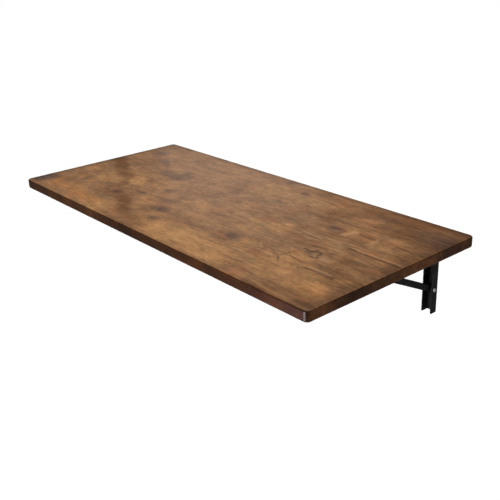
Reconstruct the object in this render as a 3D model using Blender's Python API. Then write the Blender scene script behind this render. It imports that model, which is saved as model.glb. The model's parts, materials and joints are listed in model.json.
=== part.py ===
# Wall mounted folding workbench: a stained wood worktop on two folding steel brackets.
# Metres, +Z up. The wall is the plane y = 0, the worktop reaches towards -Y, and the
# origin lies on the wall in the middle of the bench, level with the fold axis.
import math

import bmesh
import bpy
from mathutils import Vector

# Worktop: one glued wood panel
TOP_WIDTH = 1.200
TOP_DEPTH = 0.540
TOP_THICKNESS = 0.028
TOP_CORNER_RADIUS = 0.012
TOP_EDGE_RADIUS = 0.005
TOP_WALL_GAP = 0.003

# Bracket layout: end of worktop to bracket, wall to fold axis, underside to fold axis
BRACKET_INSET = 0.108
HINGE_SETBACK = 0.014
HINGE_DROP = 0.013
FIT_GAP = 0.0003

# Wall channel and arm: U-shaped steel pressings, the arm nesting inside the wall channel
SHEET = 0.002
INNER_BEND = 0.001
CHANNEL_WIDTH = 0.0285
CHANNEL_DEPTH = 0.024
CHANNEL_DROP = 0.192
CHANNEL_FOOT_RADIUS = 0.004
SIDE_PLAY = 0.0005
ARM_DEPTH = 0.022
ARM_NOSE = 0.021
ARM_NOSE_RADIUS = 0.008

# Countersunk wall screw holes in the wall channel
WALL_HOLE_COUNT = 3
WALL_HOLE_RADIUS = 0.003
WALL_SINK_RADIUS = 0.0052
WALL_HOLE_TOP = 0.030
WALL_HOLE_FOOT = 0.030

# Brace: a U-shaped strut from the wall channel to the slots of the arm
BRACE_DROP = 0.128
BRACE_REACH = 0.253
BRACE_WIDTH = 0.014
BRACE_DEPTH = 0.016
BRACE_SHEET = 0.0018
BRACE_END_ANGLE = 75

# Pins, spacers and the studs that slide in the arm's slots
PIN_RADIUS = 0.003
PIN_PLAY = 0.0003
HEAD_RADIUS = 0.005
HEAD_HEIGHT = 0.0035
STUD_HEAD_HEIGHT = 0.0022
DOME_RIM = 0.35
DOME_SHOULDER = 0.8
DOME_SHOULDER_RADIUS = 0.75
SPACER_RADIUS = 0.005
SPACER_ROOM = 0.001

# Lock yoke: a sprung fork that hooks the sliding pin and is pressed at its front tab
YOKE_SHEET = 0.0015
YOKE_PLAY = 0.0006
YOKE_RISE = 0.001
YOKE_CLEARANCE = 0.010
YOKE_PIN_RADIUS = 0.002
YOKE_HEAD_RADIUS = 0.0035
YOKE_HEAD_HEIGHT = 0.0016
YOKE_EYE_RADIUS = 0.0055
YOKE_EYE_ANGLE = 30
PRONG_DEPTH = 0.005
PRONG_TIP = 0.009
HOOK_HEIGHT = 0.0046
HOOK_LENGTH = 0.0025
HOOK_RAMP = 0.012
TAB_LENGTH = 0.066
TAB_LIP = 0.004
TAB_BACK = 0.006

# Torsion spring on the yoke pin
SPRING_WIRE_RADIUS = 0.0006
SPRING_ROOM = 0.0005
SPRING_PITCH = 0.0018
SPRING_TURNS = 4
SPRING_UPPER_LEG = 0.014
SPRING_LOWER_LEG = 0.018
SPRING_POINTS_PER_TURN = 10

# Wood screws that hold each arm under the worktop
SCREW_COUNT = 4
SCREW_RADIUS = 0.002
SCREW_LENGTH = 0.018
SCREW_POINT = 0.005
SCREW_HEAD_RADIUS = 0.0045
SCREW_HEAD_HEIGHT = 0.0022
SCREW_CROWN = 0.8
SCREW_CROWN_RADIUS = 0.7
SCREW_BACK = 0.045
SCREW_FRONT = 0.029

# How far a trimming solid reaches past what it trims, and how finely round forms are faceted
TRIM = 0.005
PIN_SIDES = 16
SCREW_SIDES = 12
BEND_STEPS = 3
CORNER_STEPS = 6
SHARP_ANGLE = 30

# Sizes that follow from the ones above
BRACKET_X = TOP_WIDTH / 2 - BRACKET_INSET
BRACE_LENGTH = math.hypot(BRACE_DROP, BRACE_REACH)
BRACE_ANGLE = math.atan2(BRACE_DROP, BRACE_REACH)
SLOT_END = BRACE_DROP + BRACE_LENGTH
YOKE_PIVOT = SLOT_END + BRACE_DEPTH / 2 + YOKE_CLEARANCE
ARM_REACH = YOKE_PIVOT + ARM_NOSE
ARM_TOP = HINGE_DROP - FIT_GAP
CHANNEL_INNER = CHANNEL_WIDTH / 2 - SHEET
ARM_OUTER = CHANNEL_INNER - SIDE_PLAY
ARM_INNER = ARM_OUTER - SHEET
YOKE_OUTER = ARM_INNER - YOKE_PLAY
YOKE_INNER = YOKE_OUTER - YOKE_SHEET
PRONG_TOP = -PIN_RADIUS - YOKE_PLAY
PRONG_FOOT = PRONG_TOP - PRONG_DEPTH
TAB_INSET = YOKE_SHEET / 8


def material(name, colour, roughness, metallic):
    mat = bpy.data.materials.new(name)
    mat.use_nodes = True
    shader = mat.node_tree.nodes["Principled BSDF"]
    shader.inputs["Base Color"].default_value = (*colour, 1.0)
    shader.inputs["Roughness"].default_value = roughness
    shader.inputs["Metallic"].default_value = metallic
    return mat


def arc(centre, radius, start, end, steps):
    # Points on a circle from one angle to another, in degrees, both ends included
    points = []
    for step in range(steps + 1):
        angle = math.radians(start + (end - start) * step / steps)
        points.append((centre[0] + radius * math.cos(angle), centre[1] + radius * math.sin(angle)))
    return points


def circle(centre, radius, sides):
    return arc(centre, radius, 0, 360, sides)[:-1]


def prism(bm, outline, low, high, place):
    # An outline extruded between two levels; place turns (u, v, level) into a point
    bottom = [bm.verts.new(place(u, v, low)) for u, v in outline]
    top = [bm.verts.new(place(u, v, high)) for u, v in outline]
    bm.faces.new(bottom)
    bm.faces.new(top)
    for i in range(len(outline)):
        j = (i + 1) % len(outline)
        bm.faces.new((bottom[i], bottom[j], top[j], top[i]))


def along_x(y, z, x):
    return Vector((x, y, z))


def along_y(x, z, y):
    return Vector((x, y, z))


def along_z(x, y, z):
    return Vector((x, y, z))


def turned(bm, profile, sides, closed=False):
    # A profile of (radius, x) points turned about the X axis; a radius of 0 is a pole
    rings = []
    for radius, x in profile:
        if radius == 0:
            rings.append([bm.verts.new((x, 0, 0))])
            continue
        rings.append([bm.verts.new((x, y, z)) for y, z in circle((0, 0), radius, sides)])
    pairs = list(zip(rings, rings[1:]))
    if closed:
        pairs.append((rings[-1], rings[0]))
    for first, second in pairs:
        for i in range(sides):
            j = (i + 1) % sides
            corners = [first[i % len(first)], first[j % len(first)]]
            corners += [second[j % len(second)], second[i % len(second)]]
            bm.faces.new(list(dict.fromkeys(corners)))


def mesh_of(name, bm):
    bmesh.ops.recalc_face_normals(bm, faces=bm.faces)
    mesh = bpy.data.meshes.new(name)
    bm.to_mesh(mesh)
    bm.free()
    return mesh


def temporary(name, build):
    bm = bmesh.new()
    build(bm)
    obj = bpy.data.objects.new(name, mesh_of(name, bm))
    bpy.context.scene.collection.objects.link(obj)
    return obj


def carved(name, build, steps):
    # The mesh of a blank after a list of (Boolean operation, tool builder) steps
    blank = temporary(name, build)
    tools = []
    for operation, build_tool in steps:
        tool = temporary(name + "_tool", build_tool)
        tool.hide_render = True
        tool.display_type = "WIRE"
        tools.append(tool)
        modifier = blank.modifiers.new(operation.lower(), "BOOLEAN")
        modifier.operation = operation
        modifier.solver = "EXACT"
        modifier.object = tool
    graph = bpy.context.evaluated_depsgraph_get()
    mesh = bpy.data.meshes.new_from_object(blank.evaluated_get(graph))
    mesh.name = name
    for obj in [blank, *tools]:
        bpy.data.objects.remove(obj)
    return mesh


def place(name, data, mat, parent, location, turn=(0, 0, 0)):
    # One object at a place that is given relative to its parent empty
    obj = bpy.data.objects.new(name, data)
    data.materials.clear()
    data.materials.append(mat)
    if obj.type == "MESH":
        data.shade_smooth()
        data.set_sharp_from_angle(angle=math.radians(SHARP_ANGLE))
    obj.parent = parent
    obj.location = location
    obj.rotation_euler = turn
    bpy.context.scene.collection.objects.link(obj)
    return obj


def axis_empty(name, location):
    empty = bpy.data.objects.new(name, None)
    empty.location = location
    empty.empty_display_size = 0.05
    bpy.context.scene.collection.objects.link(empty)
    return empty


def u_profile(width, depth, sheet):
    # Section of a pressed channel: web outside at v = 0, flange tips at v = depth
    half = width / 2
    outer = sheet + INNER_BEND
    left = (-half + outer, outer)
    right = (half - outer, outer)
    outline = [(-half, depth)]
    outline += arc(left, outer, 180, 270, BEND_STEPS)
    outline += arc(right, outer, 270, 360, BEND_STEPS)
    outline += [(half, depth), (half - sheet, depth)]
    outline += arc(right, INNER_BEND, 360, 270, BEND_STEPS)
    outline += arc(left, INNER_BEND, 270, 180, BEND_STEPS)
    outline += [(-half + sheet, depth)]
    return outline


def cross_hole(centre, radius, half_width, sides=PIN_SIDES):
    # A hole through both flanges at a (y, z) place
    def build(bm):
        prism(bm, circle(centre, radius, sides), -half_width, half_width, along_x)

    return build


def screw_places():
    # Distances of the arm's wood screws from the fold axis
    first = SCREW_BACK
    last = YOKE_PIVOT - SCREW_FRONT
    pitch = (last - first) / (SCREW_COUNT - 1)
    return [first + pitch * i for i in range(SCREW_COUNT)]


def worktop_mesh():
    back = HINGE_SETBACK - TOP_WALL_GAP
    front = back - TOP_DEPTH
    half = TOP_WIDTH / 2
    low = HINGE_DROP
    high = HINGE_DROP + TOP_THICKNESS

    def ring(inset):
        radius = TOP_CORNER_RADIUS - inset
        reach = half - TOP_CORNER_RADIUS
        points = arc((reach, back - TOP_CORNER_RADIUS), radius, 0, 90, CORNER_STEPS)
        points += arc((-reach, back - TOP_CORNER_RADIUS), radius, 90, 180, CORNER_STEPS)
        points += arc((-reach, front + TOP_CORNER_RADIUS), radius, 180, 270, CORNER_STEPS)
        points += arc((reach, front + TOP_CORNER_RADIUS), radius, 270, 360, CORNER_STEPS)
        return points

    def panel(bm):
        bend = arc((0, 0), TOP_EDGE_RADIUS, 0, 90, BEND_STEPS)
        levels = [(TOP_EDGE_RADIUS - out, low + TOP_EDGE_RADIUS - up) for out, up in reversed(bend)]
        levels += [(TOP_EDGE_RADIUS - out, high - TOP_EDGE_RADIUS + up) for out, up in bend]
        rings = []
        for inset, z in levels:
            rings.append([bm.verts.new((x, y, z)) for x, y in ring(inset)])
        bm.faces.new(rings[0])
        bm.faces.new(rings[-1])
        for first, second in zip(rings, rings[1:]):
            for i in range(len(first)):
                j = (i + 1) % len(first)
                bm.faces.new((first[i], first[j], second[j], second[i]))

    def pilot_holes(bm):
        depth = SCREW_LENGTH + FIT_GAP
        for side in (-1, 1):
            for reach in screw_places():
                hole = circle((side * BRACKET_X, -reach), SCREW_RADIUS + FIT_GAP, SCREW_SIDES)
                prism(bm, hole, low - TRIM, low + depth, along_z)

    return carved("worktop", panel, [("DIFFERENCE", pilot_holes)])


def wall_channel_mesh():
    ear = CHANNEL_DEPTH - HINGE_SETBACK
    foot = CHANNEL_FOOT_RADIUS

    def blank(bm):
        section = u_profile(CHANNEL_WIDTH, CHANNEL_DEPTH + TRIM, SHEET)
        outline = [(u, -v) for u, v in section]
        prism(bm, outline, -CHANNEL_DROP - TRIM, ear + TRIM, along_z)

    def side(bm):
        outline = [(TRIM, ear), (TRIM, -CHANNEL_DROP)]
        outline += arc((-CHANNEL_DEPTH + foot, -CHANNEL_DROP + foot), foot, 270, 180, BEND_STEPS)
        outline += arc((-HINGE_SETBACK, 0), ear, 180, 90, CORNER_STEPS)
        prism(bm, outline, -CHANNEL_WIDTH, CHANNEL_WIDTH, along_x)

    def wall_holes(bm):
        first = -WALL_HOLE_TOP
        pitch = (CHANNEL_DROP - WALL_HOLE_TOP - WALL_HOLE_FOOT) / (WALL_HOLE_COUNT - 1)
        slope = (WALL_SINK_RADIUS - WALL_HOLE_RADIUS) / (SHEET / 2)
        mouth = WALL_SINK_RADIUS + slope * FIT_GAP
        levels = [(WALL_HOLE_RADIUS, TRIM), (WALL_HOLE_RADIUS, -SHEET / 2), (mouth, -SHEET - FIT_GAP)]
        for i in range(WALL_HOLE_COUNT):
            centre = (0, first - pitch * i)
            rings = []
            for radius, y in levels:
                rings.append([bm.verts.new((x, y, z)) for x, z in circle(centre, radius, PIN_SIDES)])
            bm.faces.new(rings[0])
            bm.faces.new(rings[-1])
            for one, two in zip(rings, rings[1:]):
                for k in range(PIN_SIDES):
                    m = (k + 1) % PIN_SIDES
                    bm.faces.new((one[k], one[m], two[m], two[k]))

    pin_hole = PIN_RADIUS + PIN_PLAY
    steps = [
        ("INTERSECT", side),
        ("DIFFERENCE", wall_holes),
        ("DIFFERENCE", cross_hole((-HINGE_SETBACK, 0), pin_hole, CHANNEL_WIDTH)),
        ("DIFFERENCE", cross_hole((-HINGE_SETBACK, -BRACE_DROP), pin_hole, CHANNEL_WIDTH)),
    ]
    return carved("wall_channel", blank, steps)


def arm_mesh():
    ear = ARM_DEPTH - ARM_TOP
    nose = ARM_NOSE_RADIUS

    def blank(bm):
        section = u_profile(2 * ARM_OUTER, ARM_DEPTH + TRIM, SHEET)
        outline = [(u, ARM_TOP - v) for u, v in section]
        prism(bm, outline, -ARM_REACH - TRIM, ear + TRIM, along_y)

    def side(bm):
        outline = [(-ARM_REACH, ARM_TOP + TRIM), (ear, ARM_TOP + TRIM)]
        outline += arc((0, 0), ear, 0, -90, CORNER_STEPS)
        outline += arc((-ARM_REACH + nose, -ear + nose), nose, 270, 180, BEND_STEPS)
        prism(bm, outline, -CHANNEL_WIDTH, CHANNEL_WIDTH, along_x)

    def slot(bm):
        radius = PIN_RADIUS + PIN_PLAY
        outline = arc((-BRACE_REACH, 0), radius, -90, 90, PIN_SIDES // 2)
        outline += arc((-SLOT_END, 0), radius, 90, 270, PIN_SIDES // 2)
        prism(bm, outline, -CHANNEL_WIDTH, CHANNEL_WIDTH, along_x)

    def spacer_notch(bm):
        # Lets the arm close over the brace's pivot and its spacers when folded
        radius = SPACER_RADIUS + SPACER_ROOM
        outline = arc((-BRACE_DROP, 0), radius, 0, 180, PIN_SIDES // 2)
        outline += [(-BRACE_DROP - radius, -ear - TRIM), (-BRACE_DROP + radius, -ear - TRIM)]
        prism(bm, outline, -CHANNEL_WIDTH, CHANNEL_WIDTH, along_x)

    def screw_holes(bm):
        for reach in screw_places():
            hole = circle((0, -reach), SCREW_RADIUS + FIT_GAP, SCREW_SIDES)
            prism(bm, hole, ARM_TOP - SHEET - INNER_BEND, ARM_TOP + TRIM, along_z)

    pin_hole = PIN_RADIUS + PIN_PLAY
    yoke_hole = YOKE_PIN_RADIUS + PIN_PLAY
    steps = [
        ("INTERSECT", side),
        ("DIFFERENCE", slot),
        ("DIFFERENCE", spacer_notch),
        ("DIFFERENCE", screw_holes),
        ("DIFFERENCE", cross_hole((0, 0), pin_hole, CHANNEL_WIDTH)),
        ("DIFFERENCE", cross_hole((-YOKE_PIVOT, YOKE_RISE), yoke_hole, CHANNEL_WIDTH, SCREW_SIDES)),
    ]
    return carved("arm", blank, steps)


def brace_mesh():
    half = BRACE_DEPTH / 2

    def blank(bm):
        section = u_profile(BRACE_WIDTH, BRACE_DEPTH + TRIM, BRACE_SHEET)
        outline = [(u, v - half) for u, v in section]
        prism(bm, outline, -BRACE_LENGTH - half - TRIM, half + TRIM, along_y)

    def side(bm):
        # Round ends on the flanges, square ends on the web
        outline = arc((0, 0), half, 90, -BRACE_END_ANGLE, CORNER_STEPS * 2)
        outline += [(outline[-1][0], -half - TRIM)]
        far = arc((-BRACE_LENGTH, 0), half, 180 + BRACE_END_ANGLE, 90, CORNER_STEPS * 2)
        outline += [(far[0][0], -half - TRIM), *far]
        prism(bm, outline, -BRACE_WIDTH, BRACE_WIDTH, along_x)

    pin_hole = PIN_RADIUS + PIN_PLAY
    steps = [
        ("INTERSECT", side),
        ("DIFFERENCE", cross_hole((0, 0), pin_hole, BRACE_WIDTH)),
        ("DIFFERENCE", cross_hole((-BRACE_LENGTH, 0), pin_hole, BRACE_WIDTH)),
    ]
    return carved("brace", blank, steps)


def yoke_outline():
    # Side view of the yoke about its pivot, as (y, z): hooked prong behind, press tab in front
    pin = YOKE_PIVOT - BRACE_REACH
    low = PRONG_FOOT - YOKE_RISE
    floor = PRONG_TOP - YOKE_RISE
    hook = pin - PIN_RADIUS - YOKE_PLAY
    tip = pin + PRONG_TIP
    chamfer = PRONG_DEPTH / 2
    outline = [(tip - chamfer, low), (tip, low + chamfer), (tip, floor)]
    outline += [(hook, floor), (hook, floor + HOOK_HEIGHT)]
    outline += [(hook - HOOK_LENGTH, floor + HOOK_HEIGHT), (hook - HOOK_RAMP, floor)]
    outline += [(2 * YOKE_EYE_RADIUS, floor)]
    outline += arc((0, 0), YOKE_EYE_RADIUS, YOKE_EYE_ANGLE, 180 - YOKE_EYE_ANGLE, CORNER_STEPS)
    outline += [(-2 * YOKE_EYE_RADIUS, low + TAB_LIP), (-TAB_LENGTH + TAB_LIP, low + TAB_LIP)]
    outline += [(-TAB_LENGTH, low)]
    return outline


def lock_yoke_mesh():
    low = PRONG_FOOT - YOKE_RISE

    def cheeks(bm):
        for side in (-1, 1):
            prism(bm, yoke_outline(), side * YOKE_INNER, side * YOKE_OUTER, along_x)

    def tab(bm):
        # Web between the cheeks, kept just inside their outer faces
        half = YOKE_OUTER - YOKE_SHEET / 2
        base = low + TAB_INSET
        outline = [(-half, base), (half, base), (half, base + YOKE_SHEET), (-half, base + YOKE_SHEET)]
        prism(bm, outline, -TAB_LENGTH + YOKE_SHEET, TAB_BACK, along_y)

    eye = cross_hole((0, 0), YOKE_PIN_RADIUS + PIN_PLAY, CHANNEL_WIDTH, SCREW_SIDES)
    return carved("lock_yoke", cheeks, [("UNION", tab), ("DIFFERENCE", eye)])


def dome(radius, base, height):
    # Profile of a domed head from its rim to its pole, with height away from x = base
    rim = (radius, base + DOME_RIM * height)
    shoulder = (DOME_SHOULDER_RADIUS * radius, base + DOME_SHOULDER * height)
    return [(radius, base), rim, shoulder, (0, base + height)]


def rivet(bm, radius, head_radius, head_height, seat, sides):
    # A pin with a domed head at both ends, the heads seated at x = -seat and x = seat
    right = [(radius, seat), *dome(head_radius, seat, head_height)]
    left = [(r, -x) for r, x in reversed(right)]
    turned(bm, left + right, sides)


def cross_pin_mesh():
    bm = bmesh.new()
    rivet(bm, PIN_RADIUS, HEAD_RADIUS, HEAD_HEIGHT, CHANNEL_WIDTH / 2 + FIT_GAP, PIN_SIDES)
    return mesh_of("cross_pin", bm)


def yoke_pin_mesh():
    bm = bmesh.new()
    rivet(bm, YOKE_PIN_RADIUS, YOKE_HEAD_RADIUS, YOKE_HEAD_HEIGHT, ARM_OUTER + FIT_GAP, SCREW_SIDES)
    return mesh_of("yoke_pin", bm)


def brace_end_pin_mesh():
    bm = bmesh.new()
    reach = BRACE_WIDTH / 2 + FIT_GAP
    turned(bm, [(0, -reach), (PIN_RADIUS, -reach), (PIN_RADIUS, reach), (0, reach)], PIN_SIDES)
    return mesh_of("brace_end_pin", bm)


def slide_stud_mesh():
    # One end of the sliding pin, riding in one slot of the arm, its head towards +X
    bm = bmesh.new()
    seat = ARM_OUTER + FIT_GAP
    profile = [(0, ARM_INNER), (PIN_RADIUS, ARM_INNER), (PIN_RADIUS, seat)]
    profile += dome(HEAD_RADIUS, seat, STUD_HEAD_HEIGHT)
    turned(bm, profile, PIN_SIDES)
    return mesh_of("slide_stud", bm)


def brace_spacer_mesh():
    # A sleeve on the brace's pin, between the brace and the +X flange of the wall channel
    bm = bmesh.new()
    bore = PIN_RADIUS + PIN_PLAY
    near = BRACE_WIDTH / 2 + FIT_GAP
    far = CHANNEL_INNER - FIT_GAP
    ring = [(bore, near), (SPACER_RADIUS, near), (SPACER_RADIUS, far), (bore, far)]
    turned(bm, ring, PIN_SIDES, closed=True)
    return mesh_of("brace_spacer", bm)


def arm_screw_mesh():
    # A low-headed wood screw, turned along X: head at the inside of the arm's web, point up
    bm = bmesh.new()
    seat = ARM_TOP - SHEET - FIT_GAP
    tip = HINGE_DROP + SCREW_LENGTH
    crown = (SCREW_CROWN_RADIUS * SCREW_HEAD_RADIUS, seat - SCREW_CROWN * SCREW_HEAD_HEIGHT)
    profile = [(0, seat - SCREW_HEAD_HEIGHT), crown]
    profile += [(SCREW_HEAD_RADIUS, seat), (SCREW_RADIUS, seat), (SCREW_RADIUS, tip - SCREW_POINT), (0, tip)]
    turned(bm, profile, SCREW_SIDES)
    return mesh_of("arm_screw", bm)


def tangent_angle(tip, radius, side):
    # Angle on the coil where a straight leg to the tip leaves it; side picks one of the two
    distance = math.hypot(*tip)
    return math.atan2(tip[1], tip[0]) + side * math.acos(radius / distance)


def spring_path():
    # Upper leg, coil and lower leg about the yoke pin, as (x, y, z) with the legs forwards
    radius = YOKE_PIN_RADIUS + SPRING_ROOM + SPRING_WIRE_RADIUS
    rest = SPRING_WIRE_RADIUS + FIT_GAP
    tab_top = PRONG_FOOT - YOKE_RISE + TAB_INSET + YOKE_SHEET
    upper = (SPRING_UPPER_LEG, ARM_TOP - SHEET - YOKE_RISE - rest)
    lower = (SPRING_LOWER_LEG, tab_top + rest)
    start = tangent_angle(upper, radius, 1)
    end = tangent_angle(lower, radius, -1) + math.tau * (SPRING_TURNS + 1)
    half = SPRING_PITCH * (end - start) / math.tau / 2
    count = round((end - start) / math.tau * SPRING_POINTS_PER_TURN)
    path = [(-half, -upper[0], upper[1])]
    for i in range(count + 1):
        angle = start + (end - start) * i / count
        x = -half + 2 * half * i / count
        path.append((x, -radius * math.cos(angle), radius * math.sin(angle)))
    path.append((half, -lower[0], lower[1]))
    return [Vector(point) for point in path]


def least_gap(path, radius):
    # Least clear gap between stretches of the wire that aren't next to each other
    apart = SPRING_POINTS_PER_TURN // 2
    gaps = []
    for i, first in enumerate(path):
        for second in path[i + apart:]:
            gaps.append((first - second).length - 2 * radius)
    return min(gaps)


def spring_curve():
    path = spring_path()
    print(f"yoke spring: least gap to itself {least_gap(path, SPRING_WIRE_RADIUS) * 1000:.2f} mm")
    curve = bpy.data.curves.new("yoke_spring", "CURVE")
    curve.dimensions = "3D"
    curve.bevel_depth = SPRING_WIRE_RADIUS
    curve.bevel_resolution = 1
    curve.use_fill_caps = True
    spline = curve.splines.new("POLY")
    spline.points.add(len(path) - 1)
    for point, place_on_wire in zip(spline.points, path):
        point.co = (*place_on_wire, 1.0)
    return curve


for old in list(bpy.data.objects):
    bpy.data.objects.remove(old)

wood = material("stained_wood", (0.165, 0.070, 0.026), 0.42, 0.0)
black_steel = material("black_powder_coat", (0.012, 0.012, 0.013), 0.5, 0.0)
zinc = material("zinc_plate", (0.62, 0.62, 0.60), 0.32, 1.0)
nylon = material("nylon", (0.035, 0.035, 0.037), 0.55, 0.0)
spring_steel = material("spring_steel", (0.30, 0.30, 0.31), 0.35, 1.0)

fold_axis = axis_empty("fold_axis", (0, -HINGE_SETBACK, 0))
place("worktop", worktop_mesh(), wood, fold_axis, (0, 0, 0))

meshes = {
    "wall_channel": wall_channel_mesh(),
    "arm": arm_mesh(),
    "brace": brace_mesh(),
    "cross_pin": cross_pin_mesh(),
    "brace_spacer": brace_spacer_mesh(),
    "brace_end_pin": brace_end_pin_mesh(),
    "slide_stud": slide_stud_mesh(),
    "lock_yoke": lock_yoke_mesh(),
    "yoke_pin": yoke_pin_mesh(),
    "yoke_spring": spring_curve(),
    "arm_screw": arm_screw_mesh(),
}
HEAD_RIGHT = (0, 0, 0)
HEAD_LEFT = (0, 0, math.pi)
POINT_UP = (0, -math.pi / 2, 0)

for side, x in (("left", -BRACKET_X), ("right", BRACKET_X)):
    wall_line = axis_empty(f"wall_line_{side}", (x, 0, 0))
    place(f"wall_channel_{side}", meshes["wall_channel"], black_steel, wall_line, (0, 0, 0))
    place(f"hinge_pin_{side}", meshes["cross_pin"], zinc, wall_line, (0, -HINGE_SETBACK, 0))

    brace_axis = axis_empty(f"brace_axis_{side}", (x, -HINGE_SETBACK, -BRACE_DROP))
    place(f"brace_pin_{side}", meshes["cross_pin"], zinc, brace_axis, (0, 0, 0))
    brace = place(f"brace_{side}", meshes["brace"], black_steel, brace_axis, (0, 0, 0), (-BRACE_ANGLE, 0, 0))
    place(f"brace_end_pin_{side}", meshes["brace_end_pin"], zinc, brace, (0, -BRACE_LENGTH, 0))

    slot_start = (x, -BRACE_REACH, 0)
    for hand, turn in (("l", HEAD_LEFT), ("r", HEAD_RIGHT)):
        place(f"brace_spacer_{side}_{hand}", meshes["brace_spacer"], nylon, brace_axis, (0, 0, 0), turn)
        place(f"slide_stud_{side}_{hand}", meshes["slide_stud"], zinc, fold_axis, slot_start, turn)

    yoke_axis = (x, -YOKE_PIVOT, YOKE_RISE)
    place(f"arm_{side}", meshes["arm"], black_steel, fold_axis, (x, 0, 0))
    place(f"lock_yoke_{side}", meshes["lock_yoke"], black_steel, fold_axis, yoke_axis)
    place(f"yoke_pin_{side}", meshes["yoke_pin"], zinc, fold_axis, yoke_axis)
    place(f"yoke_spring_{side}", meshes["yoke_spring"], spring_steel, fold_axis, yoke_axis)
    for number, reach in enumerate(screw_places(), 1):
        spot = (x, -reach, 0)
        place(f"arm_screw_{side}_{number}", meshes["arm_screw"], zinc, fold_axis, spot, POINT_UP)
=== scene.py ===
import json
import math

import bmesh
import bpy
from mathutils import Matrix, Quaternion, Vector


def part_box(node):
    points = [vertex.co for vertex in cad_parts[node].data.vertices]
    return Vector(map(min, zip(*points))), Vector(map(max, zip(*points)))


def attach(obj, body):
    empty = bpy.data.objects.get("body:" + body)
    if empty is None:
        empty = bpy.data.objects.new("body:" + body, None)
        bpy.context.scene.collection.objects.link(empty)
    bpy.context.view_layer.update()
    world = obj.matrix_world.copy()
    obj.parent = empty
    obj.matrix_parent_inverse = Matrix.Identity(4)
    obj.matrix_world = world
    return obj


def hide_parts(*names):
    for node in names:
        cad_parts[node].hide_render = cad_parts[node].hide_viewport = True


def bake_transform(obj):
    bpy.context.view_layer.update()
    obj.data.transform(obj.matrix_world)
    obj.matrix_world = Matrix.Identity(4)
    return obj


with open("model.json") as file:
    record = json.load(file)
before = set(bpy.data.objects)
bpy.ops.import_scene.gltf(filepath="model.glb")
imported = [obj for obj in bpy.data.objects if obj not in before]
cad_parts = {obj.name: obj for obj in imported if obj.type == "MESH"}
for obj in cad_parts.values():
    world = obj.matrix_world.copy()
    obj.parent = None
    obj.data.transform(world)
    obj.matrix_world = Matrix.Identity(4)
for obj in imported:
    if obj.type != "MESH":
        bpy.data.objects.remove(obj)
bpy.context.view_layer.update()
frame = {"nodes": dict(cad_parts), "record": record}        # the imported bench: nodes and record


# camera, at the place and lens found from the panel's corners
camera = {
    "place": (1.51741, -1.43558, 0.71120),
    "aim": (0.16913, -0.32003, -0.02884),
    "roll": -2.174,         # degrees, the picture leans a little
    "lens": 54.802,         # mm
    "sensor": 36.0,         # mm, for a square picture
}


def setCamera():
    data = bpy.data.cameras.new("benchCamera")
    data.lens = camera["lens"]
    data.sensor_width = camera["sensor"]
    obj = bpy.data.objects.new("benchCamera", data)
    bpy.context.scene.collection.objects.link(obj)
    place = Vector(camera["place"])
    look = (Vector(camera["aim"]) - place).to_track_quat("-Z", "Y")
    obj.location = place
    obj.rotation_mode = "QUATERNION"
    obj.rotation_quaternion = look @ Quaternion((0, 0, 1), math.radians(camera["roll"]))
    bpy.context.scene.camera = obj


# studio: a white floor far below, a white surround and a wide soft sky lamp,
# with soft boxes that show only as sheen
studio = {
    "floorDrop": 2.2,       # height of the fold line over the floor
    "floorSize": 80.0,
    "floorTone": (0.95, 0.95, 0.95),
    "floorRough": 0.9,
    "surroundRadius": 38.0,
    "surroundCuts": 4,      # how finely its ball is divided
    "surroundTone": (1.0, 1.0, 1.0),
    "skyTone": (1.0, 1.0, 1.0),
    "skyPower": 0.20,
    "lampPower": 2.95,      # the overhead lamp, as wide as a cloudy sky
    "lampWidth": 95.0,      # degrees
    "lampPlace": (0, 0, 3),
    "lampLean": (-0.18, 0.14, -1.0),
    # soft boxes: name, place, aim, width, height, watts, tone
    "boxes": [
        ("backBox", (-4.43, 3.38, 1.75), (0.0, -0.27, 0.0), 1.6, 0.9, 3.6, (1, 1, 1)),
        ("cornerStrip", (0.43, -2.37, -0.70), (0.59, -0.54, 0.03), 1.30, 0.60, 46.0, (1, 0.95, 0.98)),
        ("cornerGlow", (-0.41, -1.98, -0.91), (0.59, -0.54, 0.03), 0.90, 0.60, 5.0, (1, 0.52, 0.60)),
    ],
}


def addLamp(name, kind, place, aim, power):
    light = bpy.data.lights.new(name, kind)
    light.energy = power
    obj = bpy.data.objects.new(name, light)
    bpy.context.scene.collection.objects.link(obj)
    obj.location = place
    obj.rotation_mode = "QUATERNION"
    obj.rotation_quaternion = aim.to_track_quat("-Z", "Y")
    obj.visible_camera = False
    return obj


def addStage(name, bm):
    mesh = bpy.data.meshes.new(name)
    bm.to_mesh(mesh)
    bm.free()
    obj = bpy.data.objects.new(name, mesh)
    obj.visible_glossy = False
    bpy.context.scene.collection.objects.link(obj)
    mat = bpy.data.materials.new(name)
    mat.use_nodes = True
    mesh.materials.append(mat)
    return obj, mat.node_tree.nodes["Principled BSDF"]


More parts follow.
